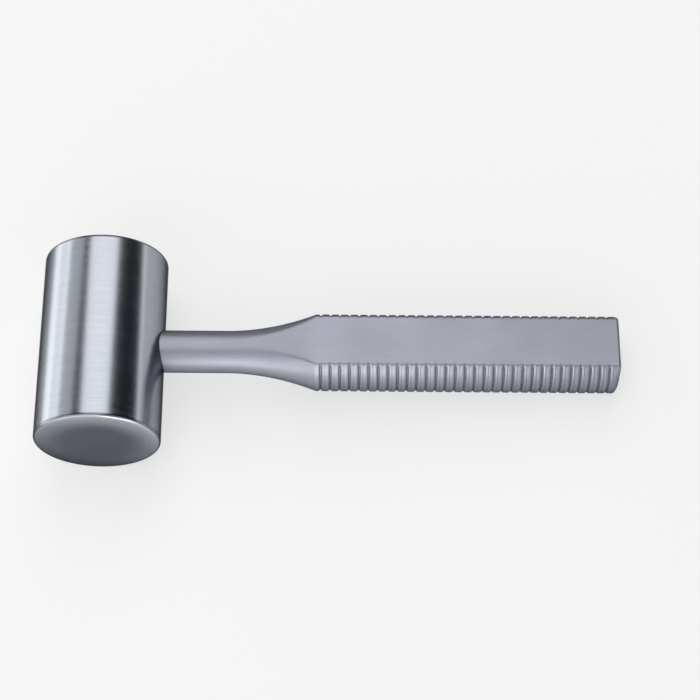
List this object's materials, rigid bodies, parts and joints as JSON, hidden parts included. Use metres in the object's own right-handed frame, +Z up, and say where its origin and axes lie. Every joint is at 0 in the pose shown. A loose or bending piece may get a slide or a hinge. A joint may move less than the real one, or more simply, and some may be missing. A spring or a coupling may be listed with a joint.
{
  "type": "surgical mallet",
  "caption": "Surgical mallet with a solid cylindrical steel head and a handle whose round neck flares into a flat-sided grip with ribbed edges.",
  "frame": {"origin": "on the table, under the middle of the overall box, with the mallet lying on its side as it rests", "axes": "+X from the head to the butt, +Y along the head's axis, +Z up"},
  "size_m": [0.1852, 0.064, 0.04],
  "materials": {
    "turned_steel": "fine turned, bright",
    "satin_steel": "satin, matte"
  },
  "bodies": {
    "root": {"head": "turned_steel", "handle": "satin_steel"}
  },
  "joints": []
}
